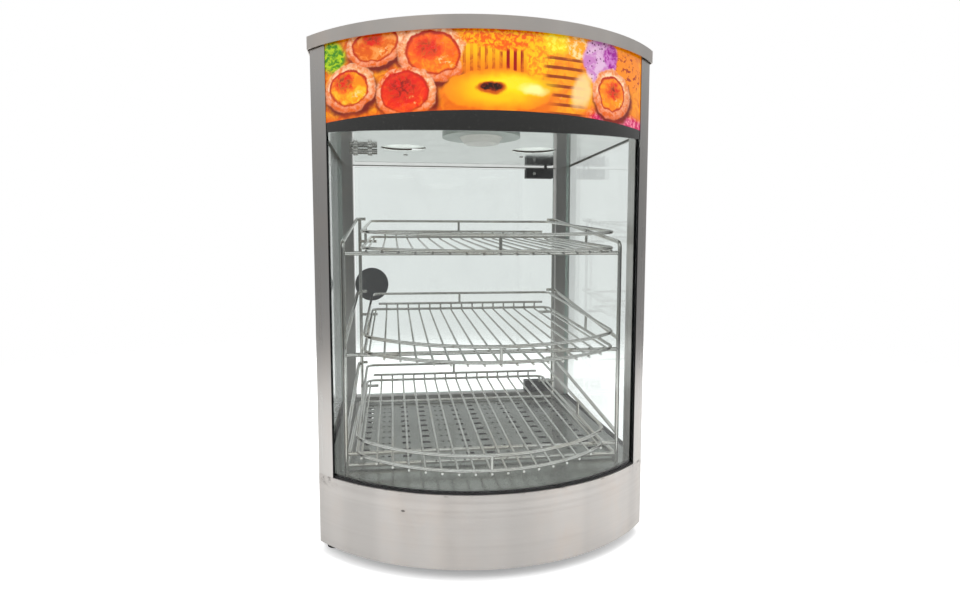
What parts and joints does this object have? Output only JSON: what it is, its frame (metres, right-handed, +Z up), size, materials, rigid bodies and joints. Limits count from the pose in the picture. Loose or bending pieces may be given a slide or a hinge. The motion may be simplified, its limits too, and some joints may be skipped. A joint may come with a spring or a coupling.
{
  "type": "hot food display case",
  "caption": "Countertop hot food display case with curved glass front, wire shelves in a wire rack, lit canopy panel, hinged glass rear door and steel base.",
  "frame": {"origin": "centre of the overall footprint, at the level the rubber feet stand on", "axes": "+Z up, +Y to the rear door, curved front faces -Y, +X to the right of somebody facing the front"},
  "size_m": [0.406, 0.4879, 0.6],
  "materials": {
    "brushed_steel": "satin brushed stainless sheet",
    "deck_steel": "bright rolled sheet, used",
    "polished_steel": "mirror-polished sheet",
    "plated_steel": "bright plated",
    "chrome_wire": "bright chrome plating on welded wire",
    "clear_glass": "clear tempered glass with faint green edges",
    "frosted_glass": "frosted glass",
    "printed_panel": "glossy printed acrylic, orange and yellow food pattern",
    "gloss_black": "glossy black",
    "black_rubber": "matt black rubber",
    "black_plastic": "matt black moulded",
    "switch_red": "translucent red moulded",
    "heater_sheath": "dull oxidised metal sheath",
    "pivot_nylon": "natural nylon",
    "light_strip": "white enamelled strip"
  },
  "bodies": {
    "cabinet": {"base_plinth_shell": "brushed_steel", "base_bottom_pan": "brushed_steel", "base_rear_panel": "brushed_steel", "front_post_left": "brushed_steel", "front_post_right": "brushed_steel", "rear_post_left": "brushed_steel", "rear_post_right": "brushed_steel", "canopy_side_panels": "brushed_steel", "canopy_rear_panel": "brushed_steel", "lid_cap": "brushed_steel", "rear_sill": "brushed_steel", "deck_plate": "deck_steel", "ceiling_plate": "polished_steel", "ceiling_vent_pans": "polished_steel", "heat_shield": "plated_steel", "case_screws": "plated_steel", "sensor_bulb_clips": "plated_steel", "lamp_holder": "plated_steel", "lamp_bezel": "plated_steel", "front_glass": "clear_glass", "side_glass_left": "clear_glass", "side_glass_right": "clear_glass", "lamp_lens": "frosted_glass", "lamp_bulb": "frosted_glass", "canopy_graphic_panel": "printed_panel", "canopy_lower_trim": "gloss_black", "rubber_feet": "black_rubber", "front_glass_gasket": "black_rubber", "front_glass_side_seals": "black_rubber", "side_glass_gaskets": "black_rubber", "cable_gland": "black_rubber", "thermostat_body": "black_plastic", "power_switch_housing": "black_plastic", "lamp_switch_housing": "black_plastic", "terminal_block": "black_plastic", "indicator_lamp": "switch_red", "heating_element": "heater_sheath", "thermostat_sensor_bulb": "heater_sheath", "door_pivot_bushes": "pivot_nylon", "canopy_light_strips": "light_strip"},
    "door": {"door_glass": "clear_glass", "door_hinge_top": "black_plastic", "door_hinge_bottom": "black_plastic", "door_hinge_bolts": "plated_steel", "door_handle": "black_plastic", "door_handle_inner_disc": "black_plastic"},
    "thermostat_knob": {"thermostat_knob": "black_plastic"},
    "power_rocker": {"power_switch_rocker": "switch_red"},
    "lamp_rocker": {"lamp_switch_rocker": "switch_red"},
    "rack": {"rack_side_left": "chrome_wire", "rack_side_right": "chrome_wire", "rack_cross_bars": "chrome_wire"},
    "lower_shelf": {"lower_shelf_grid": "chrome_wire", "lower_shelf_guard_rail": "chrome_wire"},
    "middle_shelf": {"middle_shelf_grid": "chrome_wire", "middle_shelf_guard_rail": "chrome_wire"},
    "upper_shelf": {"upper_shelf_grid": "chrome_wire", "upper_shelf_guard_rail": "chrome_wire"}
  },
  "joints": [
    {"name": "door_hinge", "type": "hinge", "parent": "cabinet", "child": "door", "pos_m": [0.158, 0.2115, 0.3], "axis": [0, 0, -1], "range_deg": [0, 110]},
    {"name": "thermostat_turn", "type": "hinge", "parent": "cabinet", "child": "thermostat_knob", "pos_m": [-0.07, 0.227, 0.057], "axis": [0, -1, 0], "range_deg": [0, 270]},
    {"name": "power_switch_tilt", "type": "hinge", "parent": "cabinet", "child": "power_rocker", "pos_m": [0, 0.227, 0.057], "axis": [-1, 0, 0], "range_deg": [0, 18]},
    {"name": "lamp_switch_tilt", "type": "hinge", "parent": "cabinet", "child": "lamp_rocker", "pos_m": [0.034, 0.227, 0.057], "axis": [-1, 0, 0], "range_deg": [0, 18]},
    {"name": "rack_lift", "type": "slide", "parent": "cabinet", "child": "rack", "axis": [0, 0, 1], "range_m": [0, 0.03]},
    {"name": "lower_shelf_lift", "type": "slide", "parent": "rack", "child": "lower_shelf", "axis": [0, 0, 1], "range_m": [0, 0.025]},
    {"name": "middle_shelf_lift", "type": "slide", "parent": "rack", "child": "middle_shelf", "axis": [0, 0, 1], "range_m": [0, 0.025]},
    {"name": "upper_shelf_lift", "type": "slide", "parent": "rack", "child": "upper_shelf", "axis": [0, 0, 1], "range_m": [0, 0.025]}
  ]
}
